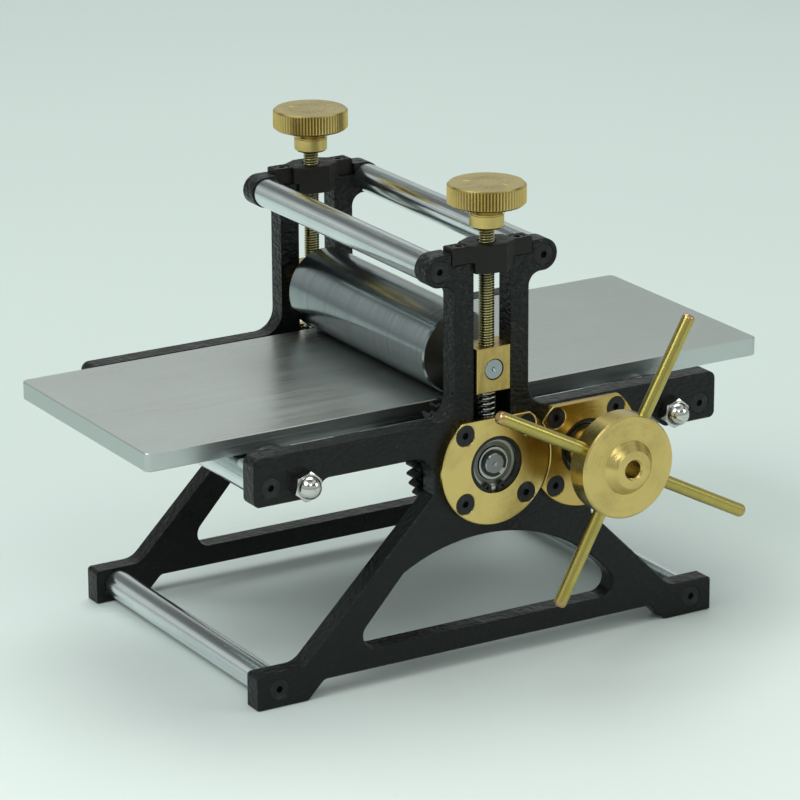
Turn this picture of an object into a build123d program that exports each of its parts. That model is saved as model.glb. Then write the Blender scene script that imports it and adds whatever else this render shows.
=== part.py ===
from build123d import *
import math
import os

os.makedirs("parts", exist_ok=True)

# Tabletop etching press. Millimetres, +Z up, +X along the bed's travel, the crank on the -Y side.
# The origin lies on the table, under the roller axis, at the middle of the object's depth.

# ---- driving dimensions: frame ----
plate_thickness = 8.0
inner_gap = 120.0
near_outer_y = -55.5
near_inner_y = near_outer_y + plate_thickness
far_inner_y = near_inner_y + inner_gap
far_outer_y = far_inner_y + plate_thickness

foot_half_length = 99.5
foot_inner_x = 78.0
foot_height = 13.0
base_clearance = 6.5
leg_line_sum = 93.6
arm_half_length = 99.8
arm_top_z = 96.0
arm_underside_z = 84.0
arm_pad_underside_z = 77.6
arm_pad_inner_x = 77.0
arm_step_x = 70.0
tower_half_width = 16.0
cap_seat_z = 155.0
cap_pocket_half_width = 17.1
ear_x = 22.2
ear_z = 153.4
ear_radius = 6.0
notch_wall_x = 24.6
drive_lobe_radius = 25.0
lobe_join_radius = 3.0
slot_half_width = 8.0
slot_bottom_z = 92.8
window_base_z = 14.4
window_left_x = -61.8
window_right_x = 59.4
window_top = (-3.8, 49.9)
window_shoulder = (-37.8, 41.0)
window_corner_radius = 5.4
plate_edge_chamfer = 0.5

# ---- driving dimensions: drive, rollers and bed ----
shaft_radius = 4.0
shaft_chamfer = 0.4
shaft_clip_width = 1.1
shaft_clip_thickness = 0.8
shaft_clip_gap = 2.4
shaft_clip_gap_reach = 3.6
grub_radius = 1.5
gear_grub_length = 3.0
hub_grub_length = 4.0
hub_grub_setback = 12.0
grub_end_gap = 0.1
gear_module = 1.25
gear_teeth = 42
pinion_teeth = 21
pressure_angle = math.radians(20)
tooth_thinning = 0.12
gear_front_y = near_outer_y + 10.2
gear_back_y = near_outer_y + 15.8
dedendum = 1.25 * gear_module
wheel_boss_radius = 8.0
wheel_boss_length = 4.5
drive_x = gear_module * (gear_teeth + pinion_teeth) / 2
drive_z = 77.4
lower_roller_radius = 13.0
roller_length = 100.0
roller_center_y = 17.0
roller_edge = 0.6
contact_gap = 0.1
bed_thickness = 7.0
bed_length = 266.0
bed_width = 101.0
bed_rest_x = 1.8
bed_corner_radius = 2.5
bed_chamfer = 0.3
bed_bottom_z = drive_z + lower_roller_radius + contact_gap
bed_top_z = bed_bottom_z + bed_thickness
upper_roller_radius = 16.0
upper_roller_z = bed_top_z + contact_gap + upper_roller_radius
roller_near_y = roller_center_y - roller_length / 2
roller_far_y = roller_center_y + roller_length / 2
support_x = 79.6
support_z = 83.5
support_radius = bed_bottom_z - contact_gap - support_z
guide_radius = 7.5
guide_thickness = 2.5
guide_gap = 0.3
axle_radius = 2.5
axle_overhang = 5.5
spacer_wall = 1.5
spacer_gap = 0.2
nut_flat = 10.0
nut_height = 4.2
nut_length = 8.8
nut_dome_radius = 4.5
nut_edge_drop = 0.5
nut_bore_depth = 5.6
nut_turn = 20
running_clearance = 0.08
fit_clearance = 0.02
through_all = 40.0

# ---- driving dimensions: fittings ----
rod_radius = 5.5
rod_spots = ((ear_x, ear_z), (92.8, 84.2), (90.5, 6.6))
screw_radius = 2.0
head_radius = 3.95
head_depth = 2.25
head_recess = 0.3
sink_radius = 4.25
socket_flat = 2.5
socket_depth = 1.6
rod_screw_length = 20.0
flange_screw_length = 10.5
flange_radius = 23.2
flange_thickness = 3.2
flange_flat = 18.0
flange_seam = 0.4
flange_screw_offset = 13.2
flange_chamfer = 0.35
spigot_radius = 13.0
bearing_outer_radius = 11.0
bearing_width = 7.0
bearing_setback = 2.1
outer_ring_bore = 9.0
spigot_bore_radius = 9.5
inner_ring_radius = 6.2
shield_setback = 0.5
shield_gap = 0.4
shield_thickness = 0.4
circlip_setback = 0.9
circlip_thickness = 1.0
circlip_outer_radius = 11.4
circlip_inner_radius = 9.3
circlip_groove_radius = 11.5
circlip_groove_slack = 0.1
circlip_gap = (3.0, 4.0)
circlip_gap_drop = 10.0
lug_x = 3.2
lug_drop = 8.9
lug_radius = 1.7
lug_hole_x = 3.3
lug_hole_radius = 0.6
shaft_end_setback = 0.9
journal_setback = 0.2
block_half_width = slot_half_width - 0.05
block_boss_half_width = 7.2
block_bottom_z = 104.9
block_top_z = 122.0
block_overhang = 1.4
block_boss_depth = 3.0
block_flange_half_width = 12.0
block_flange_thickness = 1.7
block_screw_hole_depth = 3.6
part_chamfer = 0.4
part_overlap = 0.1
press_screw_radius = 2.95
press_screw_top_z = 178.0
press_screw_seat_depth = 3.5
press_screw_chamfer = 0.5
cap_hub_base = 9.8
cap_hub_nose = 3.9
cap_hub_depth = 7.6
cap_hub_side = 4.0
cap_height = 6.3
cap_bar_width = 6.4
cap_hub_drop = 4.1
cap_side_gap = 0.05
cap_countersink_radius = 3.7
cap_screw_x = 12.5
cap_screw_radius = 1.5
cap_screw_length = 10.0
cap_screw_hole_depth = 8.0
cap_screw_head_radius = 2.75
cap_screw_head_height = 2.8
cap_screw_head_chamfer = 0.3
cap_screw_bore_radius = 2.85
cap_screw_bore_depth = 3.0
cap_screw_socket_depth = 1.5
knob_radius = 14.5
knob_top_z = 183.0
knob_neck_z = 166.5
knob_teeth = 72
knob_tooth_depth = 0.55
knob_top_chamfer = 0.8
knob_foot = ((5.7, knob_neck_z), (6.4, knob_neck_z + 0.7), (6.4, 171.4), (6.1, 171.6), (6.1, 171.9))
knob_flare = ((6.6, 172.1), (7.6, 172.9), (9.6, 174.0), (13.6, 175.2), (knob_radius, 176.0))
spring_radius = 3.2
spring_wire_radius = 0.5
spring_turns = 4.6
spring_end_gap = 0.05
hub_radius = 19.7
hub_front_y = near_outer_y - 31.4
hub_back_y = near_outer_y - 22.0
hub_nose_length = 3.6
hub_nose_base_radius = 10.4
hub_nose_tip_radius = 7.2
hub_mouth_chamfer = 0.7
hub_edge_chamfer = 0.6
hub_step_setback = 2.5
hub_boss_radius = 8.8
spoke_radius = 2.5
spoke_root_reach = 12.0
spoke_root_gap = 0.1
spoke_tip_fillet = 1.6
hub_bore_radius = 3.3
hub_bore_depth = 7.5
center_hole_radius = 1.0
center_hole_depth = 0.8
spoke_y = near_outer_y - 26.7
spokes = {"up": (60.8, 60.2), "right": (-27.6, 62.2), "down": (-118.3, 57.3), "left": (152.7, 60.6)}


def save(part, name):
    part.label = name
    export_step(part, f"parts/{name}.step")


def upright(y):
    """A sketch plane facing the crank side: local x is +X, local y is +Z."""
    return Plane.XZ.offset(-y)


def facing(x, y, z, outward):
    """A placement whose local Z points away from the press along Y."""
    return Plane(origin=(x, y, z), x_dir=(1, 0, 0), z_dir=(0, outward, 0)).location


def turned(profile, x, z):
    """A solid of revolution about an axis along Y: profile points are (y, radius)."""
    with BuildPart() as body:
        with BuildSketch(Plane(origin=(x, 0, z), x_dir=(0, 1, 0), z_dir=(1, 0, 0))):
            with BuildLine():
                Polyline(*profile, close=True)
            make_face()
        revolve(axis=Axis((x, 0, z), (0, 1, 0)))
    return body.part


def tube_profile(start_y, end_y, outer_radius, inner_radius):
    return (
        (start_y, inner_radius),
        (start_y, outer_radius),
        (end_y, outer_radius),
        (end_y, inner_radius),
    )


def rod_places():
    return [(side * x, z) for x, z in rod_spots for side in (-1, 1)]


def flange_screw_places():
    offsets = [(sx * flange_screw_offset, sz * flange_screw_offset) for sx in (-1, 1) for sz in (-1, 1)]
    return [(axis_x + dx, drive_z + dz) for axis_x in (0, drive_x) for dx, dz in offsets]


# ---- side plates ----
lower_edge = (
    (0, base_clearance),
    (foot_inner_x - base_clearance, base_clearance),
    (foot_inner_x, 0),
    (foot_half_length, 0),
    (foot_half_length, foot_height),
    (leg_line_sum - foot_height, foot_height),
    (notch_wall_x, leg_line_sum - notch_wall_x),
    (notch_wall_x, arm_underside_z),
    (arm_step_x, arm_underside_z),
    (arm_pad_inner_x, arm_pad_underside_z),
    (arm_half_length, arm_pad_underside_z),
    (arm_half_length, arm_top_z),
    (tower_half_width, arm_top_z),
    (tower_half_width, ear_z - ear_radius),
    (ear_x, ear_z - ear_radius),
)
upper_edge = (
    (ear_x, ear_z + ear_radius),
    (cap_pocket_half_width, ear_z + ear_radius),
    (cap_pocket_half_width, cap_seat_z),
    (0, cap_seat_z),
)
corner_radii = (
    (leg_line_sum - foot_height, foot_height, 8.0),
    (notch_wall_x, arm_underside_z, 9.0),
    (tower_half_width, arm_top_z, 8.5),
    (tower_half_width, ear_z - ear_radius, 5.0),
    (arm_step_x, arm_underside_z, 4.0),
    (arm_pad_inner_x, arm_pad_underside_z, 3.0),
    (arm_half_length, arm_pad_underside_z, 2.5),
    (arm_half_length, arm_top_z, 3.2),
    (foot_inner_x - base_clearance, base_clearance, 3.0),
    (foot_half_length, foot_height, 1.5),
)


def side_plate(name, front_y, outer_y, outward):
    """One flat plate cut to the frame's outline, with each screw head sunk in its outer face."""
    back = upright(front_y + plate_thickness)
    with BuildPart() as plate:
        with BuildSketch(back) as outline:
            with BuildLine():
                Polyline(*lower_edge)
                RadiusArc(lower_edge[-1], upper_edge[0], -ear_radius)
                Polyline(*upper_edge)
                mirror(about=Plane.YZ)
            make_face()
            for corner_x, corner_z, radius in corner_radii:
                found = [
                    v for v in outline.vertices() if math.hypot(abs(v.X) - corner_x, v.Y - corner_z) < 0.1
                ]
                fillet(found, radius)
            with BuildSketch(mode=Mode.PRIVATE) as lobe:
                with Locations((drive_x, drive_z)):
                    Circle(drive_lobe_radius)
                with Locations((drive_x, arm_top_z + drive_lobe_radius)):
                    Rectangle(4 * drive_lobe_radius, 2 * drive_lobe_radius, mode=Mode.SUBTRACT)
            add(lobe.sketch)
            below = [v for v in outline.vertices() if v.Y < arm_top_z - 1]
            joins = [
                v for v in below if abs(math.hypot(v.X - drive_x, v.Y - drive_z) - drive_lobe_radius) < 0.01
            ]
            fillet(joins, lobe_join_radius)
        extrude(amount=plate_thickness)
        with BuildSketch(back) as window:
            with BuildLine():
                Line((window_left_x, window_base_z), (window_right_x, window_base_z))
                ThreePointArc((window_right_x, window_base_z), window_top, window_shoulder)
                Line(window_shoulder, (window_left_x, window_base_z))
            make_face()
            fillet(window.vertices().group_by(Axis.Y)[0], window_corner_radius)
        extrude(amount=plate_thickness, mode=Mode.SUBTRACT)
        outer_face = plate.faces().filter_by(Axis.Y).sort_by(Axis.Y)[0 if outward < 0 else -1]
        chamfer([e for e in outer_face.edges() if e.center().Z > 0.5], plate_edge_chamfer)
        with BuildSketch(back):
            slot_height = cap_seat_z + ear_radius - slot_bottom_z
            with Locations((0, slot_bottom_z + slot_height / 2)):
                Rectangle(2 * slot_half_width, slot_height)
            with Locations((0, drive_z), (drive_x, drive_z)):
                Circle(spigot_radius + fit_clearance)
            with Locations((support_x, support_z), (-support_x, support_z)):
                Circle(axle_radius + fit_clearance)
        extrude(amount=plate_thickness, mode=Mode.SUBTRACT)
        with Locations(*[facing(x, outer_y, z, outward) for x, z in rod_places()]):
            CounterSinkHole(screw_radius + fit_clearance, sink_radius, depth=plate_thickness)
        with Locations(*[facing(x, outer_y, z, outward) for x, z in flange_screw_places()]):
            Hole(screw_radius + fit_clearance, depth=plate_thickness)
        with Locations(*[(side * cap_screw_x, cap_bar_y(outward), cap_seat_z) for side in (-1, 1)]):
            Hole(cap_screw_radius + fit_clearance, depth=cap_screw_hole_depth)
    save(plate.part, name)


def cap_bar_y(outward):
    """The middle of a cap's bar, whose outer face is flush with its plate."""
    return near_outer_y + cap_bar_width / 2 if outward < 0 else far_outer_y - cap_bar_width / 2


side_plate("side_plate_near", near_outer_y, near_outer_y, -1)
side_plate("side_plate_far", far_inner_y, far_outer_y, 1)

# ---- tie rods between the plates ----
rod_names = ("top_left", "top_right", "arm_left", "arm_right", "foot_left", "foot_right")
for rod_name, (rod_x, rod_z) in zip(rod_names, rod_places()):
    with BuildPart() as tie_rod:
        with BuildSketch(upright(far_inner_y)):
            with Locations((rod_x, rod_z)):
                Circle(rod_radius)
        extrude(amount=inner_gap)
        chamfer(tie_rod.edges().filter_by(GeomType.CIRCLE), part_chamfer)
        with Locations(facing(rod_x, near_inner_y, rod_z, -1), facing(rod_x, far_inner_y, rod_z, 1)):
            Hole(screw_radius + fit_clearance, depth=rod_screw_length)
    save(tie_rod.part, f"tie_rod_{rod_name}")


def sunk_screws(name, places, length):
    """Countersunk hexagon-socket screws, one for each placement, heads just below the face."""
    with BuildPart() as one:
        with BuildSketch(Plane.XZ):
            with BuildLine():
                Polyline(
                    (0, -head_recess),
                    (head_radius, -head_recess),
                    (screw_radius, -head_recess - head_depth),
                    (screw_radius, -length),
                    (0, -length),
                    close=True,
                )
            make_face()
        revolve(axis=Axis.Z)
        with BuildSketch(Plane.XY.offset(-head_recess)):
            RegularPolygon(socket_flat / 2, 6, major_radius=False)
        extrude(amount=-socket_depth, mode=Mode.SUBTRACT)
    with BuildPart() as screws:
        with Locations(*places):
            add(one.part)
    save(screws.part, name)


rod_screw_spots = [facing(x, near_outer_y, z, -1) for x, z in rod_places()]
rod_screw_spots += [facing(x, far_outer_y, z, 1) for x, z in rod_places()]
sunk_screws("tie_rod_screws", rod_screw_spots, rod_screw_length)


# ---- bearing flanges, with their bearings and rings ----
def flange(name, axis_x, face_y, outward, neighbour_x=None):
    """A flat-topped brass flange whose spigot holds the bearing; face_y is the plate's outer face."""
    front = face_y + outward * flange_thickness
    inside = face_y - outward * plate_thickness
    with BuildPart() as body:
        with BuildSketch(upright(face_y)) as disc:
            with Locations((axis_x, drive_z)):
                Circle(flange_radius)
            with Locations((axis_x, drive_z + flange_flat + flange_radius)):
                Rectangle(2 * flange_radius, 2 * flange_radius, mode=Mode.SUBTRACT)
            if neighbour_x is not None:
                with Locations((neighbour_x, drive_z)):
                    Circle(flange_radius + flange_seam, mode=Mode.SUBTRACT)
        extrude(amount=-outward * flange_thickness)
        outer_face = body.faces().filter_by(Axis.Y).sort_by(Axis.Y)[0 if outward < 0 else -1]
        chamfer(outer_face.edges(), flange_chamfer)
        with BuildSketch(upright(face_y)):
            with Locations((axis_x, drive_z)):
                Circle(spigot_radius)
        extrude(amount=outward * plate_thickness)
        with BuildSketch(upright(front)):
            with Locations((axis_x, drive_z)):
                Circle(bearing_outer_radius)
        extrude(amount=outward * (bearing_setback + bearing_width), mode=Mode.SUBTRACT)
        with BuildSketch(upright(inside)):
            with Locations((axis_x, drive_z)):
                Circle(spigot_bore_radius)
        extrude(amount=-outward * plate_thickness, mode=Mode.SUBTRACT)
        groove_start = front - outward * circlip_setback
        with BuildSketch(upright(groove_start)):
            with Locations((axis_x, drive_z)):
                Circle(circlip_groove_radius)
        extrude(amount=outward * (circlip_thickness + circlip_groove_slack), mode=Mode.SUBTRACT)
        corners = [
            facing(axis_x + sx * flange_screw_offset, front, drive_z + sz * flange_screw_offset, outward)
            for sx in (-1, 1)
            for sz in (-1, 1)
        ]
        with Locations(*corners):
            CounterSinkHole(screw_radius + fit_clearance, sink_radius, depth=flange_thickness)
    save(body.part, name)


sites = (
    ("roller", "near", 0, near_outer_y, -1, None),
    ("roller", "far", 0, far_outer_y, 1, None),
    ("drive", "near", drive_x, near_outer_y, -1, 0),
    ("drive", "far", drive_x, far_outer_y, 1, 0),
)
flange_screw_spots = []
for kind, side_name, axis_x, face_y, outward, neighbour_x in sites:
    flange(f"{kind}_flange_{side_name}", axis_x, face_y, outward, neighbour_x)
    front_y = face_y + outward * flange_thickness
    ring_near = front_y - outward * bearing_setback
    ring_far = ring_near - outward * bearing_width
    outer_profile = tube_profile(ring_near, ring_far, bearing_outer_radius, outer_ring_bore)
    save(turned(outer_profile, axis_x, drive_z), f"{kind}_bearing_outer_{side_name}")
    inner_profile = tube_profile(ring_near, ring_far, inner_ring_radius, shaft_radius)
    save(turned(inner_profile, axis_x, drive_z), f"{kind}_bearing_inner_{side_name}")
    for sx in (-1, 1):
        for sz in (-1, 1):
            spot_x = axis_x + sx * flange_screw_offset
            spot_z = drive_z + sz * flange_screw_offset
            flange_screw_spots.append(facing(spot_x, front_y, spot_z, outward))
sunk_screws("flange_screws", flange_screw_spots, flange_screw_length)

with BuildPart() as bearing_shields:
    for _, _, axis_x, face_y, outward, _ in sites:
        shield_y = face_y + outward * (flange_thickness - bearing_setback - shield_setback)
        with BuildSketch(upright(shield_y)):
            with Locations((axis_x, drive_z)):
                Circle(outer_ring_bore)
                Circle(inner_ring_radius + shield_gap, mode=Mode.SUBTRACT)
        extrude(amount=outward * shield_thickness)
save(bearing_shields.part, "bearing_shields")

with BuildPart() as flange_circlips:
    for _, _, axis_x, face_y, outward, _ in sites:
        clip_y = face_y + outward * (flange_thickness - circlip_setback)
        with BuildSketch(upright(clip_y)):
            with Locations((axis_x, drive_z)):
                Circle(circlip_outer_radius)
                Circle(circlip_inner_radius, mode=Mode.SUBTRACT)
            with Locations(*[(axis_x + side * lug_x, drive_z - lug_drop) for side in (-1, 1)]):
                Circle(lug_radius)
            with Locations((axis_x, drive_z - circlip_gap_drop)):
                Rectangle(*circlip_gap, mode=Mode.SUBTRACT)
            with Locations(*[(axis_x + side * lug_hole_x, drive_z - lug_drop) for side in (-1, 1)]):
                Circle(lug_hole_radius, mode=Mode.SUBTRACT)
        extrude(amount=outward * circlip_thickness)
save(flange_circlips.part, "flange_circlips")


# ---- toothed wheels ----
gear_grub_y = gear_back_y + wheel_boss_length / 2


def involute(angle):
    return math.tan(angle) - angle


def toothed_outline(teeth):
    """Corner points of an involute wheel about the origin, one tooth pointing along +X."""
    pitch_radius = gear_module * teeth / 2
    base_radius = pitch_radius * math.cos(pressure_angle)
    root_radius = pitch_radius - dedendum
    tip_radius = pitch_radius + gear_module
    half_tooth = math.pi / (2 * teeth) - tooth_thinning / (2 * pitch_radius)
    flank_start = max(base_radius, root_radius)
    flank = []
    for step in range(4):
        radius = flank_start + (tip_radius - flank_start) * step / 3
        roll = involute(math.acos(min(1.0, base_radius / radius)))
        flank.append((radius, half_tooth + involute(pressure_angle) - roll))
    side = [(root_radius, flank[0][1] + 0.01)] + flank
    tooth = [(radius, -angle) for radius, angle in side] + [(radius, angle) for radius, angle in side[::-1]]
    points = []
    for index in range(teeth):
        turn = 2 * math.pi * index / teeth
        points += [(r * math.cos(turn + a), r * math.sin(turn + a)) for r, a in tooth]
    return points


def toothed_wheel(name, teeth, axis_x):
    """A spur wheel on its shaft, with a boss on the side away from the plate."""
    with BuildPart() as wheel:
        with BuildSketch(Plane(origin=(axis_x, gear_back_y, drive_z), x_dir=(1, 0, 0), z_dir=(0, -1, 0))):
            with BuildLine():
                Polyline(*toothed_outline(teeth), close=True)
            make_face()
        extrude(amount=gear_back_y - gear_front_y)
        with BuildSketch(upright(gear_back_y)):
            with Locations((axis_x, drive_z)):
                Circle(wheel_boss_radius)
        extrude(amount=-wheel_boss_length)
        with BuildSketch(upright(gear_front_y)):
            with Locations((axis_x, drive_z)):
                Circle(shaft_radius)
        extrude(amount=-through_all, mode=Mode.SUBTRACT)
        with Locations((axis_x, gear_grub_y, drive_z + wheel_boss_radius)):
            Hole(grub_radius, depth=wheel_boss_radius)
    save(wheel.part, name)


toothed_wheel("drive_gear", gear_teeth, 0)
toothed_wheel("drive_pinion", pinion_teeth, drive_x)

# ---- lower roller and its rings ----
shaft_near_y = near_outer_y - flange_thickness + shaft_end_setback
shaft_far_y = far_outer_y + flange_thickness - shaft_end_setback
lower_roller_profile = (
    (shaft_near_y + center_hole_depth, 0),
    (shaft_near_y, center_hole_radius),
    (shaft_near_y, shaft_radius - shaft_chamfer),
    (shaft_near_y + shaft_chamfer, shaft_radius),
    (roller_near_y, shaft_radius),
    (roller_near_y, lower_roller_radius - roller_edge),
    (roller_near_y + roller_edge, lower_roller_radius),
    (roller_far_y - roller_edge, lower_roller_radius),
    (roller_far_y, lower_roller_radius - roller_edge),
    (roller_far_y, shaft_radius),
    (shaft_far_y - shaft_chamfer, shaft_radius),
    (shaft_far_y, shaft_radius - shaft_chamfer),
    (shaft_far_y, center_hole_radius),
    (shaft_far_y - center_hole_depth, 0),
)
save(turned(lower_roller_profile, 0, drive_z), "lower_roller")


def shaft_clips(name, axis_x, ends):
    """Spring rings round a shaft, open at the lower right, each just outside a bearing's inner ring."""
    with BuildPart() as clips:
        for clip_y, outward in ends:
            with BuildSketch(upright(clip_y)):
                with Locations((axis_x, drive_z)):
                    Circle(shaft_radius + shaft_clip_width)
                    Circle(shaft_radius, mode=Mode.SUBTRACT)
                with Locations((axis_x + shaft_clip_gap_reach, drive_z - shaft_clip_gap_reach)):
                    Rectangle(shaft_clip_gap, shaft_clip_gap, rotation=45, mode=Mode.SUBTRACT)
            extrude(amount=-outward * shaft_clip_thickness)
    save(clips.part, name)


ring_front_near = near_outer_y - flange_thickness + bearing_setback
ring_front_far = far_outer_y + flange_thickness - bearing_setback
shaft_clips("roller_shaft_clips", 0, ((ring_front_near, -1), (ring_front_far, 1)))
shaft_clips("drive_shaft_clip", drive_x, ((ring_front_far, 1),))

# ---- upper roller ----
journal_near_y = near_outer_y - block_overhang + journal_setback
journal_far_y = far_outer_y + block_overhang - journal_setback
upper_roller_profile = (
    (journal_near_y + center_hole_depth, 0),
    (journal_near_y, center_hole_radius),
    (journal_near_y, shaft_radius - shaft_chamfer),
    (journal_near_y + shaft_chamfer, shaft_radius),
    (roller_near_y, shaft_radius),
    (roller_near_y, upper_roller_radius - roller_edge),
    (roller_near_y + roller_edge, upper_roller_radius),
    (roller_far_y - roller_edge, upper_roller_radius),
    (roller_far_y, upper_roller_radius - roller_edge),
    (roller_far_y, shaft_radius),
    (journal_far_y - shaft_chamfer, shaft_radius),
    (journal_far_y, shaft_radius - shaft_chamfer),
    (journal_far_y, center_hole_radius),
    (journal_far_y - center_hole_depth, 0),
)
save(turned(upper_roller_profile, 0, upper_roller_z), "upper_roller")


# ---- bearing blocks, springs, pressure screws, knobs and caps on each tower ----
def tower_fittings(side_name, outer_y, outward):
    """Everything that one tower holds; outward is -1 on the near side and 1 on the far side."""
    middle_y = outer_y - outward * plate_thickness / 2
    inner_y = outer_y - outward * plate_thickness
    height = block_top_z - block_bottom_z
    with BuildPart() as block:
        with BuildSketch(upright(outer_y + outward * block_overhang)):
            with Locations((0, block_bottom_z + height / 2)):
                Rectangle(2 * block_boss_half_width, height)
        extrude(amount=outward * (block_overhang + block_boss_depth))
        chamfer(block.faces().sort_by(Axis.Y)[0 if outward < 0 else -1].edges(), part_chamfer)
        with BuildSketch(upright(outer_y - outward * block_boss_depth)):
            with Locations((0, block_bottom_z + height / 2)):
                Rectangle(2 * block_half_width, height)
        extrude(amount=outward * (plate_thickness - block_boss_depth + part_overlap))
        with BuildSketch(upright(inner_y - outward * part_overlap)):
            with Locations((0, block_bottom_z + height / 2)):
                Rectangle(2 * block_flange_half_width, height)
        extrude(amount=outward * block_flange_thickness)
        with BuildSketch(upright(outer_y + outward * block_overhang)):
            with Locations((0, upper_roller_z)):
                Circle(shaft_radius + running_clearance)
        extrude(amount=outward * through_all, mode=Mode.SUBTRACT)
        with Locations((0, middle_y, block_top_z)):
            Hole(press_screw_radius + running_clearance, depth=block_screw_hole_depth)
    save(block.part, f"bearing_block_{side_name}")

    spring_low = slot_bottom_z + spring_wire_radius + spring_end_gap
    spring_high = block_bottom_z - spring_wire_radius - spring_end_gap
    spring_height = spring_high - spring_low
    with BuildPart() as spring:
        with BuildLine() as coil:
            Helix(spring_height / spring_turns, spring_height, spring_radius, (0, middle_y, spring_low))
        with BuildSketch(Plane(origin=coil.line @ 0, z_dir=coil.line % 0)):
            Circle(spring_wire_radius)
        sweep(is_frenet=True)
    save(spring.part, f"return_spring_{side_name}")

    with BuildPart() as screw:
        with BuildSketch(Plane.XY.offset(block_top_z - press_screw_seat_depth)):
            with Locations((0, middle_y)):
                Circle(press_screw_radius)
        extrude(amount=press_screw_top_z - block_top_z + press_screw_seat_depth)
        chamfer(screw.edges().group_by(Axis.Z)[0], press_screw_chamfer)
    save(screw.part, f"pressure_screw_{side_name}")

    with BuildPart() as knob:
        with BuildSketch(Plane.XY.offset(knob_neck_z)):
            with Locations((0, middle_y)):
                with BuildLine():
                    tips = []
                    for index in range(knob_teeth):
                        for shift, radius in ((0, knob_radius), (0.5, knob_radius - knob_tooth_depth)):
                            angle = 2 * math.pi * (index + shift) / knob_teeth
                            tips.append((radius * math.cos(angle), middle_y + radius * math.sin(angle)))
                    Polyline(*tips, close=True)
                make_face()
        extrude(amount=knob_top_z - knob_neck_z)
        with BuildSketch(Plane.XZ.offset(-middle_y)):
            with BuildLine():
                Polyline(
                    (0, knob_neck_z),
                    *knob_foot,
                    *knob_flare,
                    (knob_radius, knob_top_z - knob_top_chamfer),
                    (knob_radius - knob_top_chamfer, knob_top_z),
                    (0, knob_top_z),
                    close=True,
                )
            make_face()
        revolve(axis=Axis((0, middle_y, 0), (0, 0, 1)), mode=Mode.INTERSECT)
        with BuildSketch(Plane.XY.offset(knob_neck_z)):
            with Locations((0, middle_y)):
                Circle(press_screw_radius)
        extrude(amount=press_screw_top_z - knob_neck_z, mode=Mode.SUBTRACT)
    save(knob.part, f"pressure_knob_{side_name}")

    bar_y = cap_bar_y(outward)
    with BuildSketch(Plane.XY.offset(cap_seat_z)) as hub_shape:
        with BuildLine():
            Polyline(
                (cap_hub_base, middle_y - cap_hub_side),
                (cap_hub_nose, middle_y - cap_hub_depth),
                (-cap_hub_nose, middle_y - cap_hub_depth),
                (-cap_hub_base, middle_y - cap_hub_side),
                (-cap_hub_base, middle_y + cap_hub_side),
                (-cap_hub_nose, middle_y + cap_hub_depth),
                (cap_hub_nose, middle_y + cap_hub_depth),
                (cap_hub_base, middle_y + cap_hub_side),
                close=True,
            )
        make_face()
    with BuildPart() as cap:
        with BuildSketch(Plane.XY.offset(cap_seat_z)):
            with Locations((0, bar_y)):
                Rectangle(2 * (cap_pocket_half_width - cap_side_gap), cap_bar_width)
            add(hub_shape.sketch)
        extrude(amount=cap_height)
        chamfer(cap.faces().sort_by(Axis.Z)[-1].edges(), part_chamfer)
        with BuildSketch(Plane.XY.offset(cap_seat_z)):
            add(hub_shape.sketch)
            with Locations((0, middle_y)):
                Rectangle(2 * block_half_width, 4 * cap_hub_depth, mode=Mode.INTERSECT)
        extrude(amount=-cap_hub_drop)
        with Locations((0, middle_y, cap_seat_z + cap_height)):
            clearance_radius = press_screw_radius + running_clearance
            CounterSinkHole(clearance_radius, cap_countersink_radius, depth=through_all)
        with Locations(*[(side * cap_screw_x, bar_y, cap_seat_z + cap_height) for side in (-1, 1)]):
            hole_radius = cap_screw_radius + fit_clearance
            CounterBoreHole(hole_radius, cap_screw_bore_radius, cap_screw_bore_depth, depth=cap_height)
    save(cap.part, f"bridge_cap_{side_name}")


tower_fittings("near", near_outer_y, -1)
tower_fittings("far", far_outer_y, 1)

cap_screw_seat_z = cap_seat_z + cap_height - cap_screw_bore_depth
with BuildPart() as cap_screw:
    with BuildSketch(Plane.XY.offset(cap_screw_seat_z)):
        Circle(cap_screw_head_radius)
    extrude(amount=cap_screw_head_height)
    chamfer(cap_screw.edges().group_by(Axis.Z)[-1], cap_screw_head_chamfer)
    with BuildSketch(Plane.XY.offset(cap_screw_seat_z)):
        Circle(cap_screw_radius)
    extrude(amount=-cap_screw_length)
    with BuildSketch(Plane.XY.offset(cap_screw_seat_z + cap_screw_head_height)):
        RegularPolygon(socket_flat / 2, 6, major_radius=False)
    extrude(amount=-cap_screw_socket_depth, mode=Mode.SUBTRACT)
with BuildPart() as cap_screws:
    bar_ys = (cap_bar_y(-1), cap_bar_y(1))
    with Locations(*[(side * cap_screw_x, bar_y, 0) for side in (-1, 1) for bar_y in bar_ys]):
        add(cap_screw.part)
save(cap_screws.part, "cap_screws")

# ---- bed ----
bed_near_y = roller_center_y - bed_width / 2
bed_far_y = roller_center_y + bed_width / 2
with BuildPart() as bed:
    with BuildSketch(Plane.XY.offset(bed_bottom_z)):
        with Locations((bed_rest_x, roller_center_y)):
            RectangleRounded(bed_length, bed_width, bed_corner_radius)
    extrude(amount=bed_thickness)
    chamfer(bed.faces().filter_by(Axis.Z).edges(), bed_chamfer)
save(bed.part, "bed")

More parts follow.
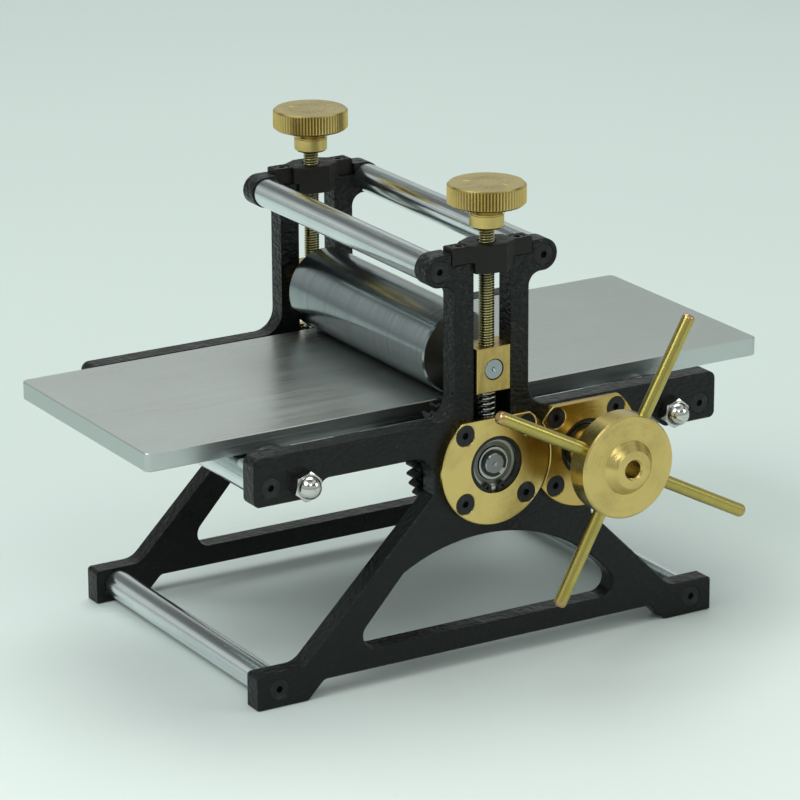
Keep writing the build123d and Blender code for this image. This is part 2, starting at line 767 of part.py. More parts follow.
# ---- support rollers, their guide discs, axles, spacers and dome nuts ----
guide_near_y = bed_near_y - guide_gap - guide_thickness
guide_far_y = bed_far_y + guide_gap + guide_thickness
for side_name, side in (("left", -1), ("right", 1)):
    axle = turned(
        (
            (near_outer_y - axle_overhang, 0),
            (near_outer_y - axle_overhang, axle_radius),
            (far_outer_y + axle_overhang, axle_radius),
            (far_outer_y + axle_overhang, 0),
        ),
        side * support_x,
        support_z,
    )
    save(axle, f"support_axle_{side_name}")
    bore = axle_radius + running_clearance
    roller = turned(
        tube_profile(bed_near_y - guide_gap, bed_far_y + guide_gap, support_radius, bore),
        side * support_x,
        support_z,
    )
    save(roller, f"support_roller_{side_name}")
    with BuildPart() as guides:
        for guide_y in (bed_near_y - guide_gap, guide_far_y):
            with BuildSketch(upright(guide_y)):
                with Locations((side * support_x, support_z)):
                    Circle(guide_radius)
                    Circle(bore, mode=Mode.SUBTRACT)
            extrude(amount=guide_thickness)
    save(guides.part, f"bed_guides_{side_name}")

with BuildPart() as axle_spacers:
    near_span = (near_inner_y, guide_near_y - spacer_gap)
    far_span = (guide_far_y + spacer_gap, far_inner_y)
    for start_y, end_y in (near_span, far_span):
        with BuildSketch(upright(end_y)):
            with Locations((-support_x, support_z), (support_x, support_z)):
                Circle(axle_radius + spacer_wall)
            with Locations((-support_x, support_z), (support_x, support_z)):
                Circle(axle_radius + fit_clearance, mode=Mode.SUBTRACT)
        extrude(amount=end_y - start_y)
save(axle_spacers.part, "axle_spacers")

nut_corner = nut_flat / math.sqrt(3)
with BuildPart() as dome_nut:
    with BuildSketch():
        RegularPolygon(nut_flat / 2, 6, major_radius=False, rotation=nut_turn)
    extrude(amount=nut_length)
    with BuildSketch(Plane.XZ):
        with BuildLine():
            Polyline(
                (0, nut_length),
                (0, 0),
                (nut_flat / 2, 0),
                (nut_corner, nut_edge_drop),
                (nut_corner, nut_height - nut_edge_drop),
                (nut_flat / 2, nut_height),
                (nut_dome_radius, nut_height),
                (nut_dome_radius, nut_length - nut_dome_radius),
            )
            RadiusArc((nut_dome_radius, nut_length - nut_dome_radius), (0, nut_length), -nut_dome_radius)
        make_face()
    revolve(axis=Axis.Z, mode=Mode.INTERSECT)
    with BuildSketch():
        Circle(axle_radius + fit_clearance)
    extrude(amount=nut_bore_depth, mode=Mode.SUBTRACT)
with BuildPart() as dome_nuts:
    spots = [facing(side * support_x, near_outer_y, support_z, -1) for side in (-1, 1)]
    spots += [facing(side * support_x, far_outer_y, support_z, 1) for side in (-1, 1)]
    with Locations(*spots):
        add(dome_nut.part)
save(dome_nuts.part, "dome_nuts")

# ---- crank: drive shaft, hub and spokes ----
drive_shaft_near_y = hub_front_y + hub_bore_depth
drive_shaft_profile = (
    (drive_shaft_near_y, 0),
    (drive_shaft_near_y, shaft_radius),
    (shaft_far_y - shaft_chamfer, shaft_radius),
    (shaft_far_y, shaft_radius - shaft_chamfer),
    (shaft_far_y, 0),
)
save(turned(drive_shaft_profile, drive_x, drive_z), "drive_shaft")

hub_step_y = near_outer_y - hub_step_setback
hub_profile = (
    (ring_front_near, shaft_radius),
    (ring_front_near, inner_ring_radius),
    (hub_step_y, inner_ring_radius),
    (hub_step_y, hub_boss_radius),
    (hub_back_y, hub_boss_radius),
    (hub_back_y, hub_radius - hub_edge_chamfer),
    (hub_back_y - hub_edge_chamfer, hub_radius),
    (hub_front_y + hub_edge_chamfer, hub_radius),
    (hub_front_y, hub_radius - hub_edge_chamfer),
    (hub_front_y, hub_nose_base_radius),
    (hub_front_y - hub_nose_length, hub_nose_tip_radius),
    (hub_front_y - hub_nose_length, hub_bore_radius + hub_mouth_chamfer),
    (hub_front_y - hub_nose_length + hub_mouth_chamfer, hub_bore_radius),
    (hub_front_y + hub_bore_depth, hub_bore_radius),
    (hub_front_y + hub_bore_depth, shaft_radius),
)


def spoke_plane(angle, reach):
    """A sketch plane across a spoke, reach millimetres out from the hub's axis."""
    turn = math.radians(angle)
    out = Vector(math.cos(turn), 0, math.sin(turn))
    return Plane(origin=Vector(drive_x, spoke_y, drive_z) + out * reach, z_dir=out)


hub_grub_y = near_outer_y - hub_grub_setback
hub_blank = turned(hub_profile, drive_x, drive_z)
with BuildPart() as crank_hub:
    add(hub_blank)
    for angle, _ in spokes.values():
        with BuildSketch(spoke_plane(angle, spoke_root_reach)):
            Circle(spoke_radius)
        extrude(amount=hub_radius, mode=Mode.SUBTRACT)
    with Locations(Location((drive_x, hub_grub_y, drive_z - hub_boss_radius), (180, 0, 0))):
        Hole(grub_radius, depth=hub_boss_radius)
save(crank_hub.part, "crank_hub")

for spoke_name, (angle, reach) in spokes.items():
    with BuildPart() as spoke:
        with BuildSketch(spoke_plane(angle, spoke_root_reach + spoke_root_gap)):
            Circle(spoke_radius)
        extrude(amount=reach - spoke_root_reach - spoke_root_gap)
        rims = spoke.edges().filter_by(GeomType.CIRCLE)
        fillet(rims.sort_by_distance(spoke_plane(angle, reach).origin)[0], spoke_tip_fillet)
    save(spoke.part, f"spoke_{spoke_name}")

# ---- grub screws ----
gear_grub_z = drive_z + shaft_radius + grub_end_gap + gear_grub_length / 2
hub_grub_z = drive_z - shaft_radius - grub_end_gap - hub_grub_length / 2
with BuildPart() as gear_grub:
    with Locations((0, gear_grub_y, gear_grub_z)):
        Cylinder(grub_radius, gear_grub_length)
save(gear_grub.part, "gear_grub_screw")

with BuildPart() as crank_grubs:
    with Locations((drive_x, gear_grub_y, gear_grub_z)):
        Cylinder(grub_radius, gear_grub_length)
    with Locations((drive_x, hub_grub_y, hub_grub_z)):
        Cylinder(grub_radius, hub_grub_length)
save(crank_grubs.part, "crank_grub_screws")
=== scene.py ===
import math

import bpy
from mathutils import Matrix, Vector


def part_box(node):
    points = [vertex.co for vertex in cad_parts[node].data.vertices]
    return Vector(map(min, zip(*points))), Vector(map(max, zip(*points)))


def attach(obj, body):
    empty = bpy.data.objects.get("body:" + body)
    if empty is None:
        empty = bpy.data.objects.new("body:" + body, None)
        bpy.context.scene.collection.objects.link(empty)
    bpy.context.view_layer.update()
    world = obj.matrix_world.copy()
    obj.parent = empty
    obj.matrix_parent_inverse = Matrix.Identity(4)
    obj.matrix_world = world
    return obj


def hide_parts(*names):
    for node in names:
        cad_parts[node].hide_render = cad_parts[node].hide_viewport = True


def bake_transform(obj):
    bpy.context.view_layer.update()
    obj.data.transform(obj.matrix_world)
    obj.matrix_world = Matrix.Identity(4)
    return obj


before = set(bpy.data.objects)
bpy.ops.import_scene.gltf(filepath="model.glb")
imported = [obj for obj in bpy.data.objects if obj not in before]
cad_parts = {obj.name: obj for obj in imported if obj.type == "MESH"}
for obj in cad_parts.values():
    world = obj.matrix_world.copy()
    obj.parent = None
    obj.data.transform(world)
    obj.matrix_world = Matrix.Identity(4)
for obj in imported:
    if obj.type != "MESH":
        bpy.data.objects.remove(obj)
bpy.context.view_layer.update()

MM = 0.001

# Places in the shared frame, in metres, that the materials and the replaced pieces are built around.
PLATE_MIDDLES = {"near": -51.5 * MM, "far": 76.5 * MM}
ROLLER_AXIS = (0.0, 77.4 * MM)
DRIVE_AXIS = (39.375 * MM, 77.4 * MM)
UPPER_ROLLER_AXIS = (0.0, 113.6 * MM)
BED_SHADING = (-90 * MM, 110 * MM)
TOWER_RIPPLES = (85 * MM, 115 * MM)
SHIELD_RIM = (8.1 * MM, 8.3 * MM)
JOURNAL_RADIUS = 5 * MM
SPOKE_REACHES = (("up", 60.2), ("right", 62.2), ("down", 57.3), ("left", 60.6))
KNOB_TOP_Z = 182.6 * MM
KNOB_RAYS = 18.0
KNOB_BAND = (4.6 * MM, 8.6 * MM)
KNOB_GROOVES = (3.4, 9.8)
KNOB_KNURL = (14.0 * MM, 14.45 * MM)
KNOB_KNURL_START = 13.4 * MM
THREAD_PITCH = 1.0 * MM
THREAD_CREST = 2.94 * MM
THREAD_ROOT = 2.38 * MM
SPRING_RADIUS = 3.25 * MM
SPRING_WIRE = 0.48 * MM

# Colours, linear.
BRASS = (0.62, 0.475, 0.17)
STEEL = (0.78, 0.83, 0.85)
SOFT_GREEN = (0.93, 1.0, 0.965)

CAMERA_PLACE = (-0.76977, -1.27712, 0.57594)
CAMERA_RIGHT = (0.85825, -0.51324, 0.0)
CAMERA_BACK = (-0.48759, -0.81536, 0.31217)
CAMERA_ROLL = math.radians(-0.26)
CAMERA_LENS = 186.93


# ---- camera ----
def place_camera():
    right, back = Vector(CAMERA_RIGHT), Vector(CAMERA_BACK)
    up = back.cross(right)
    across = right * math.cos(CAMERA_ROLL) + up * math.sin(CAMERA_ROLL)
    upward = up * math.cos(CAMERA_ROLL) - right * math.sin(CAMERA_ROLL)
    camera = bpy.data.cameras.new("camera")
    camera.lens = CAMERA_LENS
    camera.sensor_width = 36.0
    camera.clip_end = 50.0
    holder = bpy.data.objects.new("camera", camera)
    bpy.context.scene.collection.objects.link(holder)
    turn = Matrix((across, upward, back)).transposed().to_4x4()
    holder.matrix_world = Matrix.Translation(CAMERA_PLACE) @ turn
    bpy.context.scene.camera = holder


# ---- materials ----
class Finish:
    """A material that starts from one Principled shader, with short calls for the nodes that vary it."""

    def __init__(self, name, colour, metallic=1.0, roughness=0.3, **sockets):
        self.material = bpy.data.materials.new(name)
        self.material.use_nodes = True
        self.tree = self.material.node_tree
        self.shader = self.tree.nodes["Principled BSDF"]
        self.shader.inputs["Base Color"].default_value = (*colour, 1.0)
        self.shader.inputs["Metallic"].default_value = metallic
        self.shader.inputs["Roughness"].default_value = roughness
        for socket, value in sockets.items():
            self.shader.inputs[socket.replace("_", " ")].default_value = value
        self.place = self.tree.nodes.new("ShaderNodeTexCoord").outputs["Object"]
        self.colour = colour
        self.height = None

    def feed(self, socket, value):
        if hasattr(value, "is_linked"):
            self.tree.links.new(value, socket)
        else:
            socket.default_value = value

    def math(self, operation, *values, clamp=False):
        node = self.tree.nodes.new("ShaderNodeMath")
        node.operation = operation
        node.use_clamp = clamp
        for socket, value in zip(node.inputs, values):
            self.feed(socket, value)
        return node.outputs[0]

    def stretched(self, scale, place=None):
        node = self.tree.nodes.new("ShaderNodeVectorMath")
        node.operation = "MULTIPLY"
        self.feed(node.inputs[0], place or self.place)
        node.inputs[1].default_value = scale
        return node.outputs[0]

    def noise(self, scale, place=None, detail=3.0, rough=0.55):
        """Noise whose grains are about 1/scale metres; scale may differ along X, Y and Z."""
        spread = scale if isinstance(scale, tuple) else (scale, scale, scale)
        node = self.tree.nodes.new("ShaderNodeTexNoise")
        node.inputs["Scale"].default_value = 1.0
        node.inputs["Detail"].default_value = detail
        node.inputs["Roughness"].default_value = rough
        self.feed(node.inputs["Vector"], self.stretched(spread, place))
        return node.outputs["Fac"]

    def cells(self, scale, smooth=0.6):
        node = self.tree.nodes.new("ShaderNodeTexVoronoi")
        node.feature = "SMOOTH_F1"
        node.inputs["Scale"].default_value = scale
        node.inputs["Smoothness"].default_value = smooth
        self.feed(node.inputs["Vector"], self.place)
        return node.outputs["Distance"]

    def span(self, value, low, high, start=0.0, end=1.0):
        node = self.tree.nodes.new("ShaderNodeMapRange")
        self.feed(node.inputs["Value"], value)
        node.inputs["From Min"].default_value = start
        node.inputs["From Max"].default_value = end
        node.inputs["To Min"].default_value = low
        node.inputs["To Max"].default_value = high
        return node.outputs["Result"]

    def tint(self, value, other):
        """Base colour that goes towards other as value goes from 0 to 1."""
        node = self.tree.nodes.new("ShaderNodeMix")
        node.data_type = "RGBA"
        self.feed(node.inputs["Factor"], value)
        base = self.shader.inputs["Base Color"]
        colour_a, colour_b, mixed = node.inputs[6], node.inputs[7], node.outputs[2]
        if base.is_linked:
            self.tree.links.new(base.links[0].from_socket, colour_a)
        else:
            colour_a.default_value = (*self.colour, 1.0)
        colour_b.default_value = (*other, 1.0)
        self.tree.links.new(mixed, base)

    def roughen(self, value, low, high, start=0.35, end=0.65):
        self.feed(self.shader.inputs["Roughness"], self.span(value, low, high, start, end))

    def relief(self, value, depth, strength=1.0):
        """Adds a bump of depth metres to those before it."""
        node = self.tree.nodes.new("ShaderNodeBump")
        node.inputs["Strength"].default_value = strength
        node.inputs["Distance"].default_value = depth
        self.feed(node.inputs["Height"], value)
        if self.height is not None:
            self.tree.links.new(self.height, node.inputs["Normal"])
        self.height = node.outputs["Normal"]
        self.feed(self.shader.inputs["Normal"], self.height)

    def polar(self, axis, centre):
        """(radius, angle) about an axis along "Y" or "Z"; centre is (x, z) or (x, y)."""
        split = self.tree.nodes.new("ShaderNodeSeparateXYZ")
        self.feed(split.inputs[0], self.place)
        across = self.math("SUBTRACT", split.outputs["X"], centre[0])
        other = self.math("SUBTRACT", split.outputs["Z" if axis == "Y" else "Y"], centre[1])
        total = self.math("ADD", self.math("MULTIPLY", across, across), self.math("MULTIPLY", other, other))
        return self.math("SQRT", total), self.math("ARCTAN2", other, across)

    def along(self, radius, scale):
        """A place for textures that changes only with the radius, as turning marks do."""
        node = self.tree.nodes.new("ShaderNodeCombineXYZ")
        self.feed(node.inputs[0], self.math("MULTIPLY", radius, scale))
        return node.outputs[0]


def black_paint():
    paint = Finish("hammered_black", (0.0022, 0.0034, 0.0031), 0.0, 0.33, Specular_IOR_Level=0.26)
    split = paint.tree.nodes.new("ShaderNodeSeparateXYZ")
    paint.feed(split.inputs[0], paint.place)
    tower = paint.span(split.outputs["Z"], 0.3, 1.0, *TOWER_RIPPLES)
    ripples = paint.noise((420.0, 420.0, 820.0), detail=1.5, rough=0.4)
    paint.relief(paint.math("MULTIPLY", ripples, tower), 0.0009, 0.9)
    paint.relief(paint.cells(520.0), 0.00022, 0.6)
    paint.relief(paint.noise(1500.0), 0.00006, 0.4)
    paint.roughen(paint.noise(160.0), 0.27, 0.42)
    # Painted light and shade on the tower ripples: the crests are painted lighter and the valleys stay
    # darker, standing in for how light falls on them.
    ripple_painted_light = paint.math("MULTIPLY", paint.span(ripples, 0.0, 1.0, 0.46, 0.66), tower)
    paint.tint(ripple_painted_light, (0.0065, 0.0085, 0.008))
    specks = paint.span(paint.noise(900.0, detail=0.0), 0.0, 1.0, 0.85, 0.89)
    paint.tint(specks, (0.05, 0.056, 0.054))
    return paint.material


def lined_metal(name, colour, lines, roughness, depth, dark=0.8, **sockets):
    """Metal with fine lines; lines is the noise scale along X, Y and Z, small along the lines."""
    metal = Finish(name, colour, 1.0, roughness[0], **sockets)
    grain = metal.noise(lines, detail=5.0, rough=0.65)
    cloud = metal.noise(38.0, detail=4.0)
    both = metal.math("ADD", metal.math("MULTIPLY", grain, 0.7), metal.math("MULTIPLY", cloud, 0.3))
    metal.roughen(both, *roughness)
    metal.relief(grain, depth, 0.6)
    metal.tint(metal.span(both, 0.0, 1.0, 0.42, 0.68), tuple(channel * dark for channel in colour))
    return metal


def turned_metal(name, colour, axis, centre, roughness=(0.16, 0.3), depth=0.00003, dark=0.72):
    """Metal turned on a lathe about an axis along Y or Z, with its rings and a few faint stains."""
    metal = Finish(name, colour, 1.0, roughness[0])
    radius, _ = metal.polar(axis, centre)
    rings = metal.noise(1.0, metal.along(radius, 4200.0), detail=4.0, rough=0.7)
    broad = metal.noise(1.0, metal.along(radius, 700.0), detail=2.0)
    stain = metal.noise(95.0, detail=5.0)
    both = metal.math("ADD", metal.math("MULTIPLY", rings, 0.6), metal.math("MULTIPLY", stain, 0.4))
    metal.roughen(both, *roughness)
    metal.relief(rings, depth, 0.7)
    metal.relief(broad, depth * 1.5, 0.4)
    metal.tint(metal.span(rings, 0.0, 0.5, 0.5, 0.78), tuple(channel * 0.8 for channel in colour))
    metal.tint(metal.span(stain, 0.0, 0.8, 0.45, 0.75), tuple(channel * dark for channel in colour))
    return metal


def oxide(name, colour, worn, roughness):
    metal = Finish(name, colour, 0.3, roughness, Specular_IOR_Level=0.4)
    wear = metal.noise(260.0, detail=5.0)
    metal.roughen(wear, roughness - 0.1, roughness + 0.12)
    metal.relief(metal.noise(1600.0), 0.00004, 0.6)
    metal.tint(metal.span(wear, 0.0, 0.9, 0.5, 0.72), worn)
    return metal.material


def dress(material, *names):
    for name in names:
        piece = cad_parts[name]
        piece.data.materials.clear()
        piece.data.materials.append(material)


def roller_steel(name, axis, bright_radius, darkening):
    """Ground roller steel; its end faces are duller outside bright_radius from the axis."""
    colour, lines = (0.3, 0.335, 0.345), (14.0, 900.0, 14.0)
    steel = lined_metal(f"ground_roller_{name}", colour, lines, (0.12, 0.23), 0.00002)
    outward = steel.tree.nodes.new("ShaderNodeSeparateXYZ")
    steel.feed(outward.inputs[0], steel.tree.nodes.new("ShaderNodeNewGeometry").outputs["Normal"])
    ends = steel.math("GREATER_THAN", steel.math("ABSOLUTE", outward.outputs["Y"]), 0.9)
    radius, _ = steel.polar("Y", axis)
    dull = steel.math("MULTIPLY", ends, steel.math("GREATER_THAN", radius, bright_radius))
    steel.tint(steel.math("MULTIPLY", dull, darkening), (0.14, 0.12, 0.105))
    rough = steel.shader.inputs["Roughness"].links[0].from_socket
    steel.feed(steel.shader.inputs["Roughness"], steel.math("ADD", rough, steel.math("MULTIPLY", dull, 0.2)))
    rings = steel.noise(1.0, steel.along(radius, 2600.0), detail=4.0, rough=0.7)
    steel.relief(steel.math("MULTIPLY", rings, ends), 0.00006, 0.8)
    return steel.material


def knob_finish(side):
    """Knob brass: lathe rings, and on the top face a generic ring of short rays inside two grooves."""
    middle = (0.0, PLATE_MIDDLES[side])
    metal = turned_metal(f"knob_brass_{side}", BRASS, "Z", middle, (0.2, 0.34), 0.00003, 0.68)
    radius, angle = metal.polar("Z", middle)
    split = metal.tree.nodes.new("ShaderNodeSeparateXYZ")
    metal.feed(split.inputs[0], metal.place)
    top = metal.math("GREATER_THAN", split.outputs["Z"], KNOB_TOP_Z)
    rays = metal.math("SINE", metal.math("MULTIPLY", angle, KNOB_RAYS))
    inner = metal.math("GREATER_THAN", radius, KNOB_BAND[0])
    outer = metal.math("LESS_THAN", radius, KNOB_BAND[1])
    band = metal.math("MULTIPLY", metal.math("MULTIPLY", inner, outer), top)
    raised = metal.math("MULTIPLY", metal.span(rays, 0.0, 1.0, -0.15, 0.3), band)
    metal.relief(raised, 0.0004, 1.0)
    for groove in KNOB_GROOVES:
        gap = metal.math("ABSOLUTE", metal.math("SUBTRACT", radius, groove * MM))
        line = metal.math("MULTIPLY", metal.math("LESS_THAN", gap, 0.25 * MM), top)
        metal.relief(metal.math("SUBTRACT", 1.0, line), 0.0003, 1.0)
    metal.tint(metal.math("MULTIPLY", metal.math("SUBTRACT", band, raised), 0.45), (0.36, 0.26, 0.1))
    inward = metal.span(radius, 1.0, 0.0, *KNOB_KNURL)
    valleys = metal.math("MULTIPLY", inward, metal.math("GREATER_THAN", radius, KNOB_KNURL_START))
    below_top = metal.math("SUBTRACT", 0.75, metal.math("MULTIPLY", top, 0.75))
    metal.tint(metal.math("MULTIPLY", valleys, below_top), (0.2, 0.13, 0.045))
    return metal.material


def paint_cad():
    dress(black_paint(), "side_plate_near", "side_plate_far")
    rods = lined_metal("ground_rod", STEEL, (800.0, 3.0, 800.0), (0.15, 0.25), 0.000006, 0.7)
    names = ("top_left", "top_right", "arm_left", "arm_right", "foot_left", "foot_right")
    dress(rods.material, *[f"tie_rod_{name}" for name in names])
    dress(rods.material, "drive_shaft", "support_axle_left", "support_axle_right", "axle_spacers")
    dress(roller_steel("upper", UPPER_ROLLER_AXIS, JOURNAL_RADIUS, 0.6), "upper_roller")
    lower = roller_steel("lower", ROLLER_AXIS, 0.0, 0.45)
    dress(lower, "lower_roller", "support_roller_left", "support_roller_right")
    dress(lower, "bed_guides_left", "bed_guides_right")
    bed = lined_metal("brushed_bed", (0.6, 0.62, 0.605), (9.0, 1300.0, 1300.0), (0.26, 0.4), 0.00004, 0.92)
    scratches = bed.noise((40.0, 2600.0, 2600.0), detail=2.0)
    bed.tint(bed.span(scratches, 0.0, 0.35, 0.62, 0.8), (0.42, 0.43, 0.42))
    split = bed.tree.nodes.new("ShaderNodeSeparateXYZ")
    bed.feed(split.inputs[0], bed.place)
    bed.tint(bed.span(split.outputs["X"], 0.0, 0.45, *BED_SHADING), (0.4, 0.43, 0.42))
    # Painted shade: the bed's side faces are tinted darker and greener than its top, by the direction they
    # face.
    side_normal_for_painted_shade = bed.tree.nodes.new("ShaderNodeSeparateXYZ")
    bed.feed(side_normal_for_painted_shade.inputs[0], bed.tree.nodes.new("ShaderNodeNewGeometry").outputs["Normal"])
    bed.tint(bed.math("LESS_THAN", side_normal_for_painted_shade.outputs["Z"], 0.5), (0.5, 0.54, 0.53))
    dress(bed.material, "bed")
    black = oxide("black_oxide", (0.009, 0.0095, 0.01), (0.03, 0.033, 0.033), 0.36)
    dress(black, "tie_rod_screws", "flange_screws", "cap_screws", "gear_grub_screw", "crank_grub_screws")
    dress(black, "drive_gear", "drive_pinion", "flange_circlips", "roller_shaft_clips", "drive_shaft_clip")
    brown = oxide("browned_steel", (0.0055, 0.0045, 0.0036), (0.014, 0.0105, 0.008), 0.46)
    dress(brown, "bridge_cap_near", "bridge_cap_far")
    for site, axis in (("roller", ROLLER_AXIS), ("drive", DRIVE_AXIS)):
        # Painted shade: the drive flanges get a darker, warmer copy of the roller flanges' brass.
        flange_painted_shade = 1.0 if site == "roller" else 0.84
        colour = (BRASS[0] * flange_painted_shade, BRASS[1] * flange_painted_shade ** 1.4, BRASS[2] * flange_painted_shade ** 2)
        brass = turned_metal(f"flange_brass_{site}", colour, "Y", axis, (0.13, 0.24), 0.00006)
        steel = turned_metal(f"bearing_steel_{site}", (0.42, 0.43, 0.4), "Y", axis, (0.2, 0.3))
        for side in ("near", "far"):
            dress(brass.material, f"{site}_flange_{side}")
            dress(steel.material, f"{site}_bearing_outer_{side}", f"{site}_bearing_inner_{side}")
    shield = Finish("bearing_shield", (0.13, 0.135, 0.115), 0.9, 0.4)
    near_axis = shield.math("MINIMUM", shield.polar("Y", ROLLER_AXIS)[0], shield.polar("Y", DRIVE_AXIS)[0])
    rim = shield.span(near_axis, 0.0, 1.0, *SHIELD_RIM)
    shield.tint(rim, (0.42, 0.43, 0.39))
    shield.roughen(shield.noise(300.0), 0.3, 0.5)
    shield.relief(shield.noise(900.0), 0.00003)
    dress(shield.material, "bearing_shields")
    dress(turned_metal("hub_brass", BRASS, "Y", DRIVE_AXIS, (0.18, 0.32), 0.00012).material, "crank_hub")
    for name, reach in SPOKE_REACHES:
        colour, lines = (0.45, 0.375, 0.105), (90.0, 90.0, 90.0)
        spoke = lined_metal(f"spoke_brass_{name}", colour, lines, (0.22, 0.34), 0.000003, 0.78)
        tip = spoke.span(spoke.polar("Y", DRIVE_AXIS)[0], 0.0, 0.75, (reach - 3.5) * MM, (reach - 0.8) * MM)
        spoke.tint(tip, (0.5, 0.3, 0.15))
        dress(spoke.material, f"spoke_{name}")
    colour, lines = (0.47, 0.35, 0.12), (420.0, 420.0, 110.0)
    block = lined_metal("milled_brass", colour, lines, (0.2, 0.34), 0.00002, 0.72)
    dress(block.material, "bearing_block_near", "bearing_block_far")
    for side in ("near", "far"):
        dress(knob_finish(side), f"pressure_knob_{side}")
    nickel = Finish("bright_nickel", (0.57, 0.57, 0.55), 1.0, 0.12)
    nickel.roughen(nickel.noise(220.0), 0.09, 0.18)
    nickel.relief(nickel.noise(500.0), 0.00001)
    dress(nickel.material, "dome_nuts")


# ---- pieces that replace plain solids ----
def object_from(name, vertices, faces, material):
    mesh = bpy.data.meshes.new(name)
    mesh.from_pydata(vertices, [], faces)
    mesh.validate()
    mesh.shade_smooth()
    mesh.materials.append(material)
    piece = bpy.data.objects.new(name, mesh)
    bpy.context.scene.collection.objects.link(piece)
    return piece


def thread(side, material):
    """The pressure screw with its real thread, M6 with a pitch of 1 mm."""
    low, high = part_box(f"pressure_screw_{side}")
    middle_y = PLATE_MIDDLES[side]
    around, per_turn = 28, 8
    rows = int((high[2] - low[2]) / THREAD_PITCH * per_turn)
    vertices = []
    for row in range(rows + 1):
        z = low[2] + (high[2] - low[2]) * row / rows
        for step in range(around):
            turn = step / around
            phase = ((z / THREAD_PITCH) - turn) % 1.0
            lift = min(1.0, max(0.0, 1.35 - abs(2 * phase - 1) * 1.7))
            fade = min(1.0, (z - low[2]) / THREAD_PITCH)
            radius = THREAD_ROOT + (THREAD_CREST - THREAD_ROOT) * lift * fade
            x, y = radius * math.cos(math.tau * turn), radius * math.sin(math.tau * turn)
            vertices.append((x, middle_y + y, z))
    faces = []
    for row in range(rows):
        for step in range(around):
            after = (step + 1) % around
            base = row * around
            faces.append((base + step, base + after, base + around + after, base + around + step))
    faces.append(tuple(range(around))[::-1])
    faces.append(tuple(rows * around + step for step in range(around)))
    piece = object_from(f"threaded_screw_{side}", vertices, faces, material)
    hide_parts(f"pressure_screw_{side}")
    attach(piece, f"{side}_screw_body")


def spring(side, material):
    """A return spring with closed ends, as tall as the plain spring it replaces."""
    low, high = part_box(f"return_spring_{side}")
    middle_y = PLATE_MIDDLES[side]
    bottom, top = low[2] + SPRING_WIRE, high[2] - SPRING_WIRE
    turns, closed, around, count = 6.4, 0.85, 10, 260
    closed_pitch = SPRING_WIRE * 1.6
    path = []
    for index in range(count + 1):
        turn = turns * index / count
        working = min(max((turn - closed) / (turns - 2 * closed), 0.0), 1.0)
        ends = min(turn, closed) + max(turn - (turns - closed), 0.0)
        climb = ends * closed_pitch + working * (top - bottom - 2 * closed * closed_pitch)
        angle = math.tau * turn
        x, y = SPRING_RADIUS * math.cos(angle), SPRING_RADIUS * math.sin(angle)
        path.append(Vector((x, middle_y + y, bottom + climb)))
    vertices, faces = [], []
    for index, point in enumerate(path):
        tangent = (path[min(index + 1, count)] - path[max(index - 1, 0)]).normalized()
        out = Vector((point.x, point.y - middle_y, 0)).normalized()
        other = tangent.cross(out).normalized()
        for step in range(around):
            angle = math.tau * step / around
            vertices.append(tuple(point + (out * math.cos(angle) + other * math.sin(angle)) * SPRING_WIRE))
    for index in range(count):
        for step in range(around):
            after = (step + 1) % around
            base = index * around
            faces.append((base + step, base + after, base + around + after, base + around + step))
    faces.append(tuple(range(around))[::-1])
    faces.append(tuple(count * around + step for step in range(around)))
    piece = object_from(f"wire_spring_{side}", vertices, faces, material)
    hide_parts(f"return_spring_{side}")
    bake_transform(piece)


def replace_plain_solids():
    wire = Finish("spring_wire", (0.36, 0.37, 0.37), 1.0, 0.18)
    wire.roughen(wire.noise(300.0), 0.12, 0.26)
    wire.tint(wire.span(wire.noise(160.0), 0.0, 0.6, 0.4, 0.7), (0.16, 0.16, 0.16))
    for side in ("near", "far"):
        zinc = Finish(f"yellow_zinc_{side}", (0.5, 0.45, 0.22), 1.0, 0.3)
        zinc.roughen(zinc.noise(340.0, detail=4.0), 0.24, 0.4)
        zinc.tint(zinc.span(zinc.noise(120.0), 0.0, 1.0, 0.42, 0.66), (0.4, 0.41, 0.27))
        # Painted shade in the thread roots: the zinc is darkened inside the crest radius.
        radius, _ = zinc.polar("Z", (0.0, PLATE_MIDDLES[side]))
        zinc.tint(zinc.span(radius, 0.85, 0.0, 2.45 * MM, 2.8 * MM), (0.035, 0.032, 0.015))
        thread(side, zinc.material)
        spring(side, wire.material)


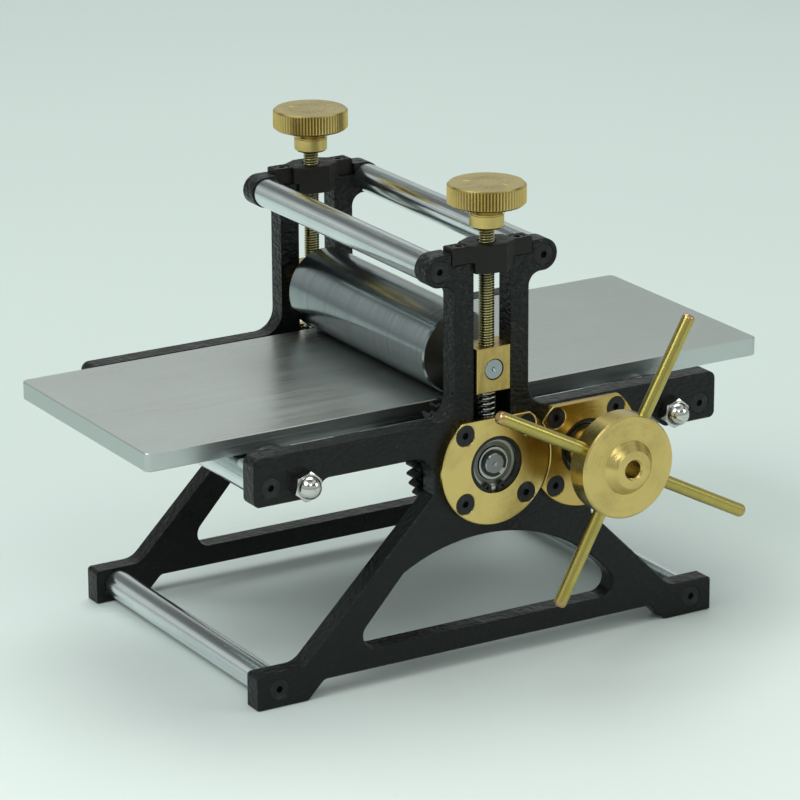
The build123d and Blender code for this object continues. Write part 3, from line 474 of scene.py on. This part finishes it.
# ---- stage and light ----
def stage():
    bpy.ops.mesh.primitive_circle_add(vertices=96, radius=9.0, fill_type="NGON", location=(0, 0, -0.0004))
    floor = bpy.context.object
    floor.name = "floor"
    paper = Finish("floor_paper", (0.72, 0.755, 0.745), 0.0, 0.55, Specular_IOR_Level=0.3)
    split = paper.tree.nodes.new("ShaderNodeSeparateXYZ")
    paper.feed(split.inputs[0], paper.place)
    # Painted shade: the floor paper darkens from the front towards the back, along the view direction.
    across = paper.math("MULTIPLY", split.outputs["X"], 0.513)
    depth = paper.math("ADD", across, paper.math("MULTIPLY", split.outputs["Y"], 0.858))
    paper.tint(paper.span(depth, 0.0, 1.0, -0.3, 0.2), (0.585, 0.645, 0.625))
    paper.roughen(paper.noise(3.0), 0.5, 0.6)
    floor.data.materials.append(paper.material)


def lamp(name, place, target, size, power, colour=(1, 1, 1)):
    light = bpy.data.lights.new(name, "AREA")
    light.shape = "RECTANGLE"
    light.size, light.size_y = size
    light.energy = power
    light.color = colour
    holder = bpy.data.objects.new(name, light)
    bpy.context.scene.collection.objects.link(holder)
    holder.location = place
    holder.rotation_euler = (Vector(target) - Vector(place)).to_track_quat("-Z", "Y").to_euler()


def light():
    world = bpy.data.worlds.new("studio")
    bpy.context.scene.world = world
    world.use_nodes = True
    nodes, links = world.node_tree.nodes, world.node_tree.links
    back = nodes["Background"]
    place = nodes.new("ShaderNodeTexCoord")
    split = nodes.new("ShaderNodeSeparateXYZ")
    links.new(place.outputs["Generated"], split.inputs[0])
    ramp = nodes.new("ShaderNodeValToRGB")
    bands = (
        (0.0, 0.5),
        (0.2, 0.72),
        (0.42, 0.82),
        (0.5, 0.12),
        (0.63, 0.1),
        (0.7, 1.0),
        (0.86, 0.95),
        (0.96, 0.25),
    )
    steps = ramp.color_ramp.elements
    for index, (position, value) in enumerate(bands):
        step = steps[index] if index < 2 else steps.new(position)
        step.position = position
        step.color = (*(value * channel for channel in SOFT_GREEN), 1)
    links.new(split.outputs["Z"], ramp.inputs[0])
    links.new(ramp.outputs[0], back.inputs["Color"])
    back.inputs["Strength"].default_value = 0.8
    lamp("key", (-1.3, -0.3, 1.5), (0, 0, 0.08), (0.9, 0.9), 17, SOFT_GREEN)
    lamp("top", (0.3, 0.7, 1.7), (0, 0, 0.08), (1.2, 1.2), 15, SOFT_GREEN)
    lamp("fill", (1.3, -1.1, 0.9), (0, 0, 0.08), (0.7, 0.7), 5, SOFT_GREEN)
    lamp("front", (-0.5, -1.7, 1.6), (0, -0.1, 0.0), (0.8, 0.8), 5, SOFT_GREEN)
    bpy.context.scene.view_settings.view_transform = "Standard"


place_camera()
stage()
light()
paint_cad()
replace_plain_solids()
